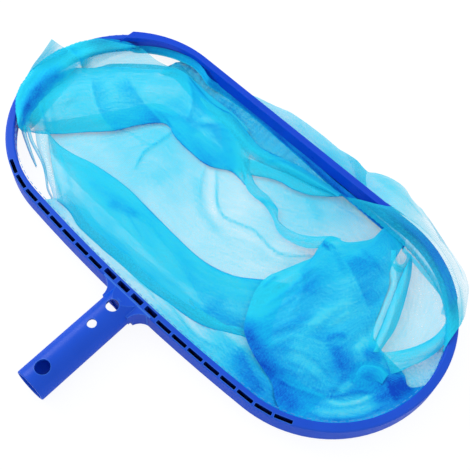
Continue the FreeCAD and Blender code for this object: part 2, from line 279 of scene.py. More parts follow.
def upwards(points):
    """Normals of a grid of points, turned so that they point up."""
    made = np.cross(np.gradient(points, axis=1), np.gradient(points, axis=0))
    made /= np.linalg.norm(made, axis=2, keepdims=True) + 1e-12
    return made * np.where(made[..., 2:] < 0, -1, 1)


def soft_noise(along, across, length_mm, width_mm, seed):
    """Smooth noise over the flat cloth, in patches of so many mm."""
    return np.array([
        [noise.noise(Vector((x / length_mm, y / width_mm, seed))) for x in along]
        for y in across
    ])


def sheet_grid(rails, turned, roll):
    """A grid of places through rails, about one cell apart, and the length of the longest rail."""
    cell = 0.0016
    fewest_columns = 4
    fewest_rows = 3
    lines = [rail_line(*rail) for rail in rails]
    widest = max(np.linalg.norm(np.diff(line[:, :3], axis=0), axis=1).sum() for line in lines)
    columns = max(fewest_columns, round(widest / cell))
    lines = [evenly(line, columns) for line in lines]
    for index in sorted(turned, reverse=True):
        lines[index:index + 1] = turned_edge(lines, index, roll)
    knots = np.array(lines)
    gaps = np.linalg.norm(np.diff(knots[..., :3], axis=0), axis=-1).mean(axis=1)
    return smooth_through(knots, [max(fewest_rows, round(gap / cell)) for gap in gaps]), widest


def lift_and_layers(points, layers, widest, seed, waves, gather, creases, laps):
    """How many mm each point of a sheet is lifted, and how many layers of netting show there."""
    fine_steps = 2.6
    fine_share = 0.4
    fine_seed = 9
    uneven_length = 26
    uneven_width = 15
    uneven_share = 0.22
    uneven_seed = 31
    wander_length = 17
    wander_turn = 5
    end_share = 0.15
    hard_edge = 0.7
    lap_lift = 0.5
    lap_width = 1.5
    rows, columns = layers.shape
    steps = np.linalg.norm(np.diff(points, axis=0), axis=2).mean(axis=1)
    across = np.concatenate([[0], np.cumsum(steps)]) * mm_per_metre
    along = np.linspace(0, widest * mm_per_metre, columns)
    height, length, width = waves
    fine = soft_noise(along * fine_steps, across * fine_steps, length, width, seed + fine_seed)
    lift = (soft_noise(along, across, length, width, seed) + fine_share * fine) * height
    uneven = soft_noise(along, across, uneven_length, uneven_width, seed + uneven_seed)
    layers = layers * (1 + uneven_share * uneven)
    if gather:
        swing_mm, pitch_mm, reach = gather
        wander = np.array([noise.noise(Vector((x / wander_length, seed, 0))) for x in along])
        swing = np.sin(2 * math.pi * along / pitch_mm + wander_turn * wander)
        fade = np.clip(1 - np.arange(rows) / (rows * reach), 0, 1)
        lift += swing_mm * swing[None, :] * fade[:, None]
    for (height_mm, pixels), raised, wide, more in creases:
        away, _, inner = beside_line(points, height_mm, pixels)
        near = np.exp(-(away / wide) ** 2) * (end_share + (1 - end_share) * inner)
        lift += raised * near
        layers = layers + more * near
    for (height_mm, pixels), way, more, fade_mm in laps:
        away, side, inner = beside_line(points, height_mm, pixels)
        spread = np.where(side * way > 0, fade_mm, hard_edge)
        layers = layers + more * np.exp(-(away / spread) ** 2) * inner
        lift += lap_lift * np.exp(-(away / lap_width) ** 2) * inner
    return lift, layers


most_layers = 12


def cloth(name, rails, stands_for=("net_bag",), turned=(), roll=0.0011,
          waves=(0.6, 40.0, 14.0), gather=None, creases=(), laps=()):
    """A sheet of netting through rails, each with its layers, its heights in mm and its pixels.

    The cloth turns back at the rails that are turned, in a fold of the roll's radius. Waves have a height,
    a length and a width in mm. Gathers have a height and a pitch in mm, and fade over a share of the sheet
    from its first rail. A crease is a line, the mm by which it is raised, its width in mm and the layers
    it adds. A lap is where the edge of a sheet below shows through: a line, 1 where that sheet lies to its
    left or -1 to its right, the layers it adds and the mm over which they fade. The attribute layers says
    how dense the netting looks.
    """
    least_layers = 0.25
    seeds = 97
    floor_gap = 0.0005
    least_level = 0.35
    steep_power = 0.7
    most_steep = 1.8
    barest = 0.2
    narrowest_strip = 0.0102
    least_share = 0.301
    grid, widest = sheet_grid(rails, turned, roll)
    rows, columns = grid.shape[:2]
    points = grid[..., :3].copy()
    layers = np.clip(grid[..., 3], least_layers, most_layers)
    seed = sum(map(ord, name)) % seeds
    lift, layers = lift_and_layers(points, layers, widest, seed, waves, gather, creases, laps)
    points += upwards(points) * (lift / mm_per_metre)[..., None]
    points[..., 2] = np.maximum(points[..., 2], floor_gap)
    level = np.maximum(np.abs(upwards(points)[..., 2]), least_level)
    steep = np.clip(1 / level ** steep_power, 1, most_steep)

    index = np.arange(rows * columns).reshape(rows, columns)
    faces = np.stack([index[:-1, :-1], index[:-1, 1:], index[1:, 1:], index[1:, :-1]], axis=-1)
    faces = faces.reshape(-1, 4)
    mesh = bpy.data.meshes.new(name)
    mesh.from_pydata(points.reshape(-1, 3).tolist(), [], faces.tolist())
    mesh.polygons.foreach_set("use_smooth", [True] * len(faces))
    kept = mesh.attributes.new("layers", "FLOAT", "POINT")
    kept.data.foreach_set("value", np.maximum(layers * steep, barest).ravel())
    long_way = np.linalg.norm(np.diff(points, axis=1), axis=2)
    cross_way = np.linalg.norm(np.diff(points, axis=0), axis=2)
    flat_u = np.concatenate([np.zeros((rows, 1)), np.cumsum(long_way, axis=1)], axis=1)
    flat_v = np.concatenate([np.zeros((1, columns)), np.cumsum(cross_way, axis=0)])
    flat = np.stack([flat_u.ravel(), flat_v.ravel()], axis=1)
    laid_flat = mesh.uv_layers.new(name="cloth")
    laid_flat.data.foreach_set("uv", flat[faces.ravel()].ravel())
    mesh.materials.append(netting)
    piece = bpy.data.objects.new(name, mesh)
    bpy.context.scene.collection.objects.link(piece)
    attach(piece, "root")
    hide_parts(*stands_for)
    ways = (long_way.sum(axis=1).mean(), cross_way.sum(axis=0).mean())
    size = [max(narrowest_strip, float(way)) for way in ways]
    area = sum(polygon.area for polygon in mesh.polygons) / (size[0] * size[1])
    area = min(max(area, least_share), 1) * size[0] * size[1]


netting, add, shader = new_material("cyan_netting")
link = netting.node_tree.links.new
cloth_place = add("ShaderNodeUVMap", uv_map="cloth").outputs["UV"]
layers = add("ShaderNodeAttribute", attribute_name="layers").outputs["Fac"]
knit_pitch = 0.00105
knit_slant = 0.62
pitch_at_scale_one = math.pi / 10
threads = []
for turn in (knit_slant, -knit_slant):
    turned = add("ShaderNodeMapping", ("Vector", cloth_place), ("Rotation", (0, 0, turn)))
    wave = add("ShaderNodeTexWave", ("Vector", turned.outputs["Vector"]),
               ("Scale", pitch_at_scale_one / knit_pitch), ("Distortion", 0.8), ("Detail", 0.0))
    threads.append(wave.outputs["Fac"])
crossed = add("ShaderNodeMath", (0, threads[0]), (1, threads[1]), operation="MULTIPLY")
knit = add("ShaderNodeMapRange", ("Value", crossed.outputs[0]),
           ("From Max", 0.8), ("To Min", 0.86), ("To Max", 1.2))
grain = add("ShaderNodeTexNoise", ("Vector", cloth_place), ("Scale", 620.0), ("Detail", 3.0))
grainy = add("ShaderNodeMapRange", ("Value", grain.outputs["Fac"]),
             ("From Min", 0.3), ("From Max", 0.7), ("To Min", 0.70), ("To Max", 1.30))
stretched = add("ShaderNodeMapping", ("Vector", cloth_place), ("Scale", (70, 430, 1)))
streak = add("ShaderNodeTexNoise", ("Vector", stretched.outputs["Vector"]),
             ("Scale", 1.0), ("Detail", 2.0))
streaky = add("ShaderNodeMapRange", ("Value", streak.outputs["Fac"]),
              ("From Min", 0.3), ("From Max", 0.7), ("To Min", 0.84), ("To Max", 1.16))
rough = add("ShaderNodeMath", (0, knit.outputs["Result"]), (1, grainy.outputs["Result"]),
            operation="MULTIPLY")
rough = add("ShaderNodeMath", (0, rough.outputs[0]), (1, streaky.outputs["Result"]),
            operation="MULTIPLY")
cover = add("ShaderNodeMath", (0, layers), (1, rough.outputs[0]), operation="MULTIPLY")
open_share = 0.42
passed = add("ShaderNodeMath", (0, open_share), (1, cover.outputs[0]), operation="POWER")
alpha = add("ShaderNodeMath", (0, 1.0), (1, passed.outputs[0]), operation="SUBTRACT", use_clamp=True)
link(alpha.outputs[0], shader.inputs["Alpha"])
# The base colour deepens from bright cyan to deep blue as the layers grow: partly the deeper colour of
# netting stacked on itself, partly painted shade for layers that shade each other and let less light
# through.
colour_grain = 0.45
mild = add("ShaderNodeMath", (0, rough.outputs[0]), (1, colour_grain), operation="POWER")
depth = add("ShaderNodeMath", (0, layers), (1, mild.outputs[0]), operation="MULTIPLY")
share = add("ShaderNodeMath", (0, depth.outputs[0]), (1, most_layers), operation="DIVIDE")
depth_and_shade_ramp = add("ShaderNodeValToRGB", (0, share.outputs[0]))
shades = (
    (1.0, (0.025, 0.74, 0.97)),
    (3.5, (0.018, 0.71, 0.96)),
    (4.6, (0.008, 0.60, 0.94)),
    (5.5, (0.004, 0.50, 0.90)),
    (7.0, (0.002, 0.35, 0.84)),
    (8.5, (0.001, 0.23, 0.77)),
    (11.0, (0.0, 0.075, 0.58)),
)
while len(depth_and_shade_ramp.color_ramp.elements) < len(shades):
    depth_and_shade_ramp.color_ramp.elements.new(1.0)
for element, (count, colour) in zip(depth_and_shade_ramp.color_ramp.elements, shades):
    element.position = count / most_layers
    element.color = (*colour, 1)
link(depth_and_shade_ramp.outputs[0], shader.inputs["Base Color"])
thread_relief = 0.0002
bump = add("ShaderNodeBump", ("Height", crossed.outputs[0]),
           ("Strength", 0.2), ("Distance", thread_relief))
link(bump.outputs["Normal"], shader.inputs["Normal"])
shader.inputs["Roughness"].default_value = 0.7
shader.inputs["Specular IOR Level"].default_value = 0.12

hem_top = [
    (100, 38.6), (112, 39), (124, 41), (132, 43.5), (138, 45.6), (150, 46.2), (165, 48.6), (180, 53),
    (195, 60), (203, 68), (209, 77), (214, 81), (222, 86), (252, 107.5), (273, 125.5), (303, 152),
    (333, 179), (355, 197), (376, 215), (392, 229), (406, 243),
]
hem_heights = (22.3, 22.3, 22.2, 21, 14, 14.5, 16, 18, 19.5, 20, 19, 16, 13, *[12] * 8)
hem_drops = (
    ((5, 5, 5, 6, 7), 0, (0, 0)),
    ((4, 4, 4, 6, 7), 3, (-1.6, 4.2)),
    ((2, 2, 2, 3, 4), 6, (-2.4, 7.4)),
)
hem_far_rails = [
    (layers, [height - drop for height in hem_heights], [(u + aside, v + below) for u, v in hem_top])
    for layers, drop, (aside, below) in hem_drops
]
cloth("hem_far", hem_far_rails, ("net_hem",), waves=(0.12, 12.0, 12.0))

# The bag's floor: the single layer of netting that lies on the table in the middle of the mouth, with the
# soft folds that run into the gathered heap at the right.
bag_floor_rails = [
    ((1.6, 1.8, 2.2, 2.4, 2.0, 1.6, 2, 2.2, 2.2, 1.8, 1.5), 3,
     [(46, 122), (85, 116), (120, 110), (160, 104), (195, 128), (225, 150), (262, 163), (300, 176),
      (335, 186), (374, 208), (406, 240)]),
    ((1.4, 1.5, 1.9, 2.3, 1.7, 1.0, 1.1, 1.9, 2.2, 1.5, 1.3), 2.2,
     [(49, 137), (85, 143), (120, 148), (155, 153), (190, 171), (222, 190), (258, 199), (292, 206),
      (328, 211), (366, 220), (402, 248)]),
    ((1.3, 1.3, 1.4, 1.3, 1.1, 1.1, 1.15, 1.1, 1.3, 1.4), 2.0,
     [(51, 146), (72, 165), (105, 185), (140, 205), (175, 225), (212, 240), (250, 246), (290, 250),
      (325, 250), (360, 250), (388, 252)]),
    (1.0, 2.2,
     [(54, 158), (70, 176), (98, 204), (128, 232), (158, 262), (192, 288), (230, 300), (268, 300),
      (305, 292), (340, 280), (372, 272)]),
]
bag_floor_creases = (
    ((3, [(217, 160), (217, 185), (217, 198), (219, 208), (224, 216), (235, 221.5), (245, 226),
          (254, 230), (262, 238), (270, 246.5), (279, 253), (292, 255.5), (324, 256)]), 0.9, 1.1, 2.0),
    ((3, [(221, 224), (236, 231), (252, 238), (264, 247), (276, 258), (292, 262)]), 0, 3.5, -0.35),
    ((3, [(212, 168), (210, 188), (211, 203), (217, 220)]), 0, 3.2, -0.4),
    ((3, [(195, 176), (198, 195), (202, 208), (210, 221), (222, 235)]), 0.3, 4.0, 0.7),
    ((3, [(207, 163), (202, 176), (200, 190), (201, 200)]), 0.8, 1.2, 0.6),
    ((3, [(177, 128), (168, 135.5), (155, 144), (144, 152), (139, 160), (134, 169)]), 0.9, 1.1, 2.6),
    ((3, [(112, 126), (122, 130), (135, 135.5), (143, 141), (153, 145.5)]), 0.6, 1.0, 1.0),
    ((3, [(150, 178), (172, 170), (186, 171)]), 0, 8.0, 0.6),
    ((3, [(306, 196), (313, 207), (319, 220)]), 0.5, 5.0, 0.7),
    ((3, [(240, 262), (262, 266), (285, 268)]), 0, 6.0, -0.25),
    ((3, [(250, 240), (280, 262), (300, 258)]), 0, 5.0, 0.35),
)
cloth("bag_floor", bag_floor_rails, waves=(0.7, 60.0, 24.0), creases=bag_floor_creases)

# The near side of the bag: it falls from the hem, runs in along the table, turns back and lies in a wide
# flap whose long fold crosses the mouth.
near_slope_rails = [
    ((1.5, 1.3, 0.9, 1.0, 1.1, 1.2, 2.0, 3.4, 5.0, 6.8, 7.4), (8, 12, 14, 13, 13, 12),
     [(43, 200), (52, 212), (62, 224), (85, 249), (115, 276), (150, 308), (170, 327), (200, 353),
      (225, 374), (250, 392), (274, 409), (300, 420)]),
    ((1.6, 1.4, 1.0, 0.9, 1.0, 1.1, 2.0, 3.6, 5.0, 7.0, 7.4), (7, 5, 3.5, 3, 3, 4),
     [(48, 199), (58, 207), (70, 216), (92, 238), (118, 259), (150, 286), (172, 306), (207, 335),
      (232, 352), (256, 368), (284, 396), (310, 412)]),
    ((1.0, 0.8, 0.8, 0.8, 0.9, 0.9, 1.4, 2.6, 3.0, 4, 4), (5, 4, 3, 3, 3, 4),
     [(57, 198), (65, 202), (80, 206), (104, 228), (130, 246), (160, 270), (182, 290), (215, 318),
      (245, 336), (268, 352), (300, 382), (326, 396)]),
]
near_slope_creases = (
    ((4, [(128, 277), (141, 285), (149, 292), (156, 302)]), 0.8, 0.9, 1.3),
    ((4, [(158, 293), (168, 303), (178, 316), (186, 327), (194, 336), (206, 344),
          (222, 350)]), 1.0, 1.0, 1.8),
    ((4, [(172, 300), (184, 312), (194, 326), (206, 338), (216, 345)]), 0, 2.6, -0.8),
    ((4, [(150, 306), (172, 322), (190, 340), (212, 358)]), 0.3, 4.0, 0.9),
    ((4, [(224, 326), (236, 336), (247, 345)]), 0, 5.0, -1.2),
)
near_slope_laps = (
    ((4, [(216, 321), (223, 332), (232, 341), (243, 350), (256, 358)]), -1, 1.0, 9.0),
    ((4, [(240, 346), (248, 364), (256, 382), (266, 398)]), -1, 2.2, 12.0),
)
cloth("near_slope", near_slope_rails, waves=(0.5, 30.0, 12.0), gather=(0.35, 9, 0.5),
      creases=near_slope_creases, laps=near_slope_laps)

near_flap_rails = [
    ((0.5, 1.2, 1.2, 1.2, 1.2, 1.2), 2.6,
     [(70, 190), (82, 202), (98, 224), (118, 243), (142, 266), (166, 288), (192, 308), (215, 322),
      (240, 328), (262, 336), (284, 346)]),
    ((0.6, 2.0, 2.6, 2.6, 2.6, 2.8, 3.0), (8, 5, 4, 3.6, 3.4, 2.8, 2.6),
     [(57, 201), (64, 206), (71, 214), (78, 226), (100, 247), (120, 264), (145, 286), (166, 301),
      (185, 315), (205, 326), (222, 331), (244, 337), (270, 348)]),
    ((0.7, 2.8, 3.6, 3.6, 3.6, 4.2, 4.8), (8, 7, 6, 5, 4, 3.2, 3),
     [(54, 178), (68, 186), (90, 201), (112, 219), (138, 241), (165, 266), (190, 289), (215, 307),
      (246, 316), (274, 322)]),
    ((1.0, 2.2, 2.8, 3.6, 4.2, 4.8, 4.8), (9, 6, 5, 4.6, 4.5, 4.2, 3.6, 3.2),
     [(47, 131), (51, 136), (59, 145), (75, 155), (90, 162), (110, 174.5), (130, 190), (150, 210),
      (175, 235), (200, 258.5), (220, 270.5), (240, 277), (266, 280), (290, 284)]),
    (0.7, 2.6,
     [(50, 152), (62, 162), (80, 170), (100, 184), (124, 204), (146, 226), (170, 250), (195, 272),
      (225, 285), (258, 292), (282, 296)]),
]
near_flap_creases = (
    ((5, [(106, 204), (116, 207), (126, 211.5), (140, 217)]), 0.5, 3.6, 1.4),
    ((5, [(126, 213), (132, 222), (138, 232), (143, 242)]), 0.4, 1.2, 0.8),
    ((5, [(50, 150), (54, 165), (58, 182), (63, 198)]), 0.6, 1.6, 1.0),
    ((5, [(58, 150), (66, 170), (73, 192)]), 0.4, 1.4, 0.7),
    ((5, [(64, 160), (74, 178), (82, 198)]), 0.3, 3.5, -0.7),
    ((5, [(88, 180), (104, 192), (122, 207)]), 0.3, 5.0, 0.8),
    ((5, [(112, 228), (136, 250), (158, 270)]), 0.4, 5.0, -0.8),
)
near_flap_laps = (
    ((5, [(108, 203), (120, 208.5), (134, 213), (146, 221), (156, 233), (166, 247), (178, 262),
          (190, 280), (200, 298), (212, 311), (228, 320), (246, 325)]), 1, 0.9, 15.0),
    ((4, [(200, 306), (212, 316), (226, 323), (246, 330)]), 1, 1.2, 12.0),
)
cloth("near_flap", near_flap_rails, turned=(1, 3), waves=(0.6, 55.0, 12.0), creases=near_flap_creases,
      laps=near_flap_laps)

# The far mass: the bag's left end, folded over itself several times, with the edges of the folds that lie
# under each other showing through.
far_mass_rails = [
    ((0.3, 1.6, 3.2, 3.2, 3.2, 3.2, 3.2, 3.2, 3.2, 3.4, 3.6, 3.6, 3.6, 2.4, 1.0), (20, 15, 12, 11, 10, 9),
     [(29, 96), (37, 89), (55, 76), (72, 68.5), (88, 68), (98, 67.5), (109, 64), (122, 63.6), (140, 64),
      (160, 65.4), (178, 69), (196, 82), (212, 97), (232, 112), (248, 128)]),
    ((0.3, 1.8, 3.5, 3.5, 3.5, 3.5, 3.8, 4.2, 4.4, 1.0), (20, 17, 13, 11, 10, 8),
     [(27, 107), (36, 103), (60, 94), (90, 88), (120, 85), (150, 85), (180, 92), (205, 112), (230, 132),
      (250, 146)]),
    ((0.3, 1.8, 3.0, 3.2, 3.4, 3.8, 4.0, 4.2, 4.2, 1.4), (16, 14, 11, 9, 8, 6),
     [(26, 120), (35, 118), (60, 114), (90, 112), (120, 108), (150, 105), (176, 116), (200, 138),
      (225, 154), (248, 164)]),
    ((3.4, 3.6, 3.8, 3.8, 3.6, 3.6, 4.0), (6, 5, 4.6, 4.4, 4.2, 4.2, 4.4),
     [(29, 131.5), (38, 133.5), (60, 134), (85, 132.5), (104, 132), (118, 130.5), (134, 126.5),
      (158, 123.4), (167, 125), (175, 136), (190, 151), (200, 160), (210, 166), (220, 169), (231, 171.5),
      (238, 177), (245, 185)]),
    (0.25, 3,
     [(34, 122), (60, 122), (90, 121), (120, 116), (150, 110), (170, 112), (190, 132), (210, 148),
      (244, 162)]),
]
far_mass_creases = (
    ((7, [(84, 131.5), (94, 132.5), (106, 131.5)]), 0.4, 1.3, 3.0),
    ((11, [(83, 69), (98, 68.6), (118, 69.5), (140, 71.5), (160, 73), (178, 70)]), 0.7, 1.0, 1.2),
    ((11, [(154, 75.5), (168, 74), (182, 75)]), 0, 2.2, -1.3),
    ((9, [(172, 62), (184, 72), (192, 83), (199, 92), (207, 101), (216, 109),
          (226, 115)]), 0.8, 1.1, 1.0),
    ((9, [(200, 120), (212, 119.5), (226, 121)]), 0.5, 2.8, -1.5),
    ((8, [(190, 128), (203, 126.5), (222, 125.5)]), 0.4, 1.0, 1.0),
    ((8, [(192, 136), (202, 134), (214, 136)]), 0, 2.2, -0.9),
    ((8, [(186, 130), (200, 133), (216, 137.5), (233, 139.5), (246, 143)]), 0.4, 1.0, 0.7),
    ((9, [(140, 90), (160, 91), (184, 95)]), 0.6, 7.0, -1.1),
    ((9, [(106, 84), (112, 92), (118, 100)]), 0.3, 6.0, -0.8),
    ((9, [(112, 116), (136, 118), (162, 117)]), 0.4, 6.0, 0.5),
    ((9, [(180, 152), (196, 158), (214, 164)]), 0.2, 5.0, 1.0),
    ((9, [(62, 100), (72, 106)]), 0.6, 9.0, -0.6),
    ((12, [(40, 106), (44, 116), (48, 131)]), 0.8, 1.5, 1.6),
    ((12, [(49, 100), (52, 114), (56, 131)]), 0.5, 2.2, 0.8),
    ((6, [(226, 148), (232, 160), (238, 172)]), 0.5, 6.0, 1.0),
)
far_mass_laps = (
    ((9, [(91, 80), (93, 90), (95, 99), (98, 108), (104, 119), (113, 126), (124, 130)]), 1, 1.5, 13.0),
    ((9, [(126, 78), (132, 88), (139, 98), (149, 109), (160, 119), (168, 125)]), -1, 1.5, 13.0),
    ((7, [(108, 128), (130, 126.5), (150, 123.5), (164, 123)]), 1, 0.8, 9.0),
    ((9, [(186, 79), (191, 90), (192.5, 102), (190, 114), (186, 124)]), 1, 1.0, 12.0),
    ((9, [(144, 104), (162, 112), (182, 117), (204, 124), (232, 131)]), -1, 0.9, 9.0),
    ((6, [(168, 127), (178, 139), (190, 150), (202, 160.5), (214, 166.5)]), 1, 0.8, 7.0),
)
cloth("far_mass", far_mass_rails, turned=(3,), roll=0.0008, waves=(0.9, 44.0, 16.0),
      creases=far_mass_creases, laps=far_mass_laps)

far_veil_rails = [
    (1.0, (19, 18, 17, 16), [(80, 59.5), (90, 56), (100, 53), (112, 50.8), (124, 49.2), (142, 48.4)]),
    (0.9, 15, [(81, 65), (92, 63), (104, 61), (118, 60), (134, 60), (158, 61)]),
    (0.9, 10, [(82, 72), (92, 75), (108, 73), (126, 72), (145, 73), (178, 70)]),
]
cloth("far_veil", far_veil_rails, waves=(0.4, 12.0, 30.0), gather=(0.3, 6, 0.8))

# The folds between the far mass and the lip: a slope that falls from the hem, a thick roll of gathered
# netting at its foot, and a fan of folds that ends in a free lower edge.
far_slope_rails = [
    ((3.6, 4.4, 4.4, 4.0), (8, 9, 8, 7, 7, 7, 7, 7, 7),
     [(166, 67), (178, 62), (190, 61.5), (200, 66.5), (210, 74), (222, 83), (246, 100), (270, 117),
      (285, 129), (300, 141), (320, 158), (340, 175), (356, 190)]),
    ((3.4, 3.8, 3.8, 3.4), 4.5,
     [(160, 74), (174, 79), (185, 90), (198, 104), (214, 117), (233, 133), (250, 150), (272, 164),
      (296, 178), (316, 190), (338, 197)]),
]
far_slope_creases = (
    ((8, [(150, 51), (162, 58), (172, 61), (182, 68), (190, 77)]), 0.8, 1.2, 1.4),
    ((6, [(216, 100), (228, 108), (240, 120)]), 0.4, 4.5, 1.2),
    ((6, [(208, 86), (222, 94), (232, 102)]), 0, 3.5, -0.7),
)
cloth("far_slope", far_slope_rails, waves=(0.7, 14.0, 9.0), gather=(0.5, 7, 0.9),
      creases=far_slope_creases)

far_roll_rails = [
    ((0.6, 2.0, 2.6, 2.8), (8, 9, 9),
     [(168, 71), (180, 66), (190, 74), (199, 87), (212, 101), (230, 113), (246, 131), (260, 147),
      (280, 157), (302, 168), (322, 181), (341, 194)]),
    ((0.7, 2.2, 2.8, 3.0), (8, 12, 11),
     [(166, 74), (178, 71), (187, 80), (195, 92), (207, 105), (224, 117), (240, 134), (254, 150),
      (276, 161), (298, 172), (320, 185), (338, 196.5)]),
    ((0.5, 1.8, 1.8, 0.4, 0.25, 0.3), (7, 7, 5),
     [(164, 77), (174, 77), (182, 86), (190, 96), (201, 110), (217, 123), (234, 140), (248, 156),
      (270, 167), (294, 178), (316, 188), (337, 196)]),
]
far_roll_laps = (
    ((9, [(180, 72), (190, 82), (198, 90), (206, 98), (214, 107), (222, 112), (230, 115), (238, 122),
          (243, 128), (250, 136), (258, 145), (266, 152), (280, 158), (295, 162),
          (308, 168)]), 1, 3.2, 4.0),
    ((8, [(262, 161), (280, 162), (298, 167), (312, 173), (326, 182)]), -1, 1.6, 4.0),
)
cloth("far_roll", far_roll_rails, waves=(0.6, 22.0, 7.0), laps=far_roll_laps)

far_wing_rails = [
    (2.8, (4, 7, 7, 7),
     [(220, 126), (236, 132), (258, 148), (282, 160), (305, 170), (325, 182), (342, 192)]),
    ((1.6, 2.4, 2.6, 2.8), (3, 6, 6, 6),
     [(222, 145), (239, 153), (262, 162), (284, 171), (305, 180), (325, 188), (343, 194)]),
    ((2.6, 2.8, 3.0), (3, 5.5, 5.5, 5.5),
     [(228, 165), (243, 173), (255, 175.6), (268, 178), (280, 182), (290, 188), (300, 192.4),
      (312, 195.4), (326, 196.6), (344, 196)]),
    (0.4, 3, [(230, 155), (244, 160), (262, 166), (282, 173), (300, 181), (320, 186), (340, 190)]),
]
far_wing_creases = (
    ((6, [(272, 165), (286, 167.5), (300, 171)]), 0.3, 2.2, -1.6),
    ((6, [(280, 172), (298, 175), (314, 179.5)]), 0.8, 1.1, 1.6),
    ((6, [(262, 178), (282, 184), (296, 191)]), 0.3, 1.6, 0.8),
    ((6, [(240, 148), (252, 154), (262, 157)]), 0, 4.0, -1.2),
    ((6, [(286, 188), (306, 186), (326, 190)]), 0, 3.0, -0.4),
)
far_wing_laps = (
    ((6, [(233, 140), (238, 150), (242, 162), (243.5, 175)]), -1, 1.5, 6.0),
    ((6, [(246, 161), (262, 161), (280, 162)]), -1, 0.8, 7.0),
)
cloth("far_wing", far_wing_rails, turned=(2,), waves=(0.5, 26.0, 8.0), creases=far_wing_creases,
      laps=far_wing_laps)

# The neck: a narrow band of folds of the bag's netting, which runs from under the far mass into the knot
# on top of the right heap.
neck_rails = [
    ((3, 3.4, 3.4, 1.8, 2.0, 2.4), (6, 5, 4, 5, 8, 11),
     [(239, 160), (243, 176), (247, 189), (254, 197), (262, 203), (268, 210), (273, 219), (277, 230),
      (283, 237), (291, 242), (301, 246.5), (312, 248.5), (324, 247)]),
    ((1.6, 1.8, 1.6, 0.9, 1.0, 1.6), (7, 6, 5, 6, 9, 12),
     [(243, 159), (248, 176), (253, 188), (260, 196), (267, 202), (273, 210), (277, 219), (283, 228.5),
      (290, 234), (298, 238), (306, 240.5), (315, 242), (328, 243)]),
    ((2.4, 2.6, 2.6, 2.2, 2.4, 2.4), (6, 5, 4, 5, 8, 11),
     [(248, 158), (252, 176), (258, 187), (267, 195), (273, 202), (278, 210), (278, 221), (284, 226),
      (292, 231), (304, 235), (318, 236.4), (332, 236), (342, 238.5)]),
]
neck_creases = (
    ((6, [(284, 236), (296, 241), (308, 243), (320, 243)]), 0.5, 0.8, 1.2),
    ((5, [(258, 197), (268, 203), (276, 208), (284, 212)]), 0.8, 1.6, 2.0),
)
cloth("neck", neck_rails, waves=(0.4, 20.0, 5.0), creases=neck_creases)

# The right heap: most of the bag's cloth, gathered to a knot and lying in a low dome against the near rim.
# Its folds run out from the knot, and a round lump lies at its right foot.
right_heap_rails = [
    ((2.4, 4.0, 4.2, 4, 4, 4), (6.5, 8, 10, 12, 12, 12, 12, 11, 10, 9),
     [(262, 281), (270, 275), (280, 271), (300, 262.5), (312, 257), (320, 245), (330, 236), (346, 242),
      (358, 241.5), (372, 238.5), (387, 227), (404, 244)]),
    ((2.4, 3.4, 5, 5, 4.8, 5.4, 4.4), (6.5, 10, 13, 13.5, 13, 12, 10),
     [(254, 293), (280, 284), (305, 277), (325, 270), (345, 268), (365, 265), (384, 262), (391, 268)]),
    ((3.0, 4.6, 5, 5, 4.8, 5, 5.4), (6, 10, 13, 14, 13.5, 12, 10),
     [(248, 310), (275, 310), (305, 308), (330, 306), (350, 304), (370, 300), (388, 290)]),
    ((6.2, 6.0, 5.2, 5, 5.2, 5, 4), (6, 9, 13, 14, 14, 12, 10),
     [(244, 330), (270, 335), (300, 336), (328, 336), (350, 334), (365, 332), (374, 328)]),
    ((6.4, 6.8, 5.6, 5.8, 6.2, 5.2, 4.4), (6, 8, 11, 13, 14, 13, 12),
     [(252, 352), (280, 362), (305, 364), (330, 366), (352, 362), (366, 352), (378, 346)]),
    ((5.4, 6.2, 5.8, 5.4, 6, 7, 5), (4, 7, 9, 11, 12, 11, 9),
     [(272, 384), (292, 390), (315, 397), (340, 400), (362, 398), (386, 387), (404, 374)]),
    ((5.0, 5.8, 5.2, 4.8, 5.2, 6.4, 6.4), (9, 10, 11, 12, 12, 12, 11),
     [(275, 399), (296, 407), (318, 413), (343, 414), (368, 411), (391, 401), (409, 387)]),
    ((4.8, 5.4, 4.8, 4.4, 4.6, 5.4, 7), (12, 12, 12, 12, 12, 12),
     [(280, 412), (300, 421), (325, 426), (350, 425), (377, 421), (402, 409), (430, 384)]),
]
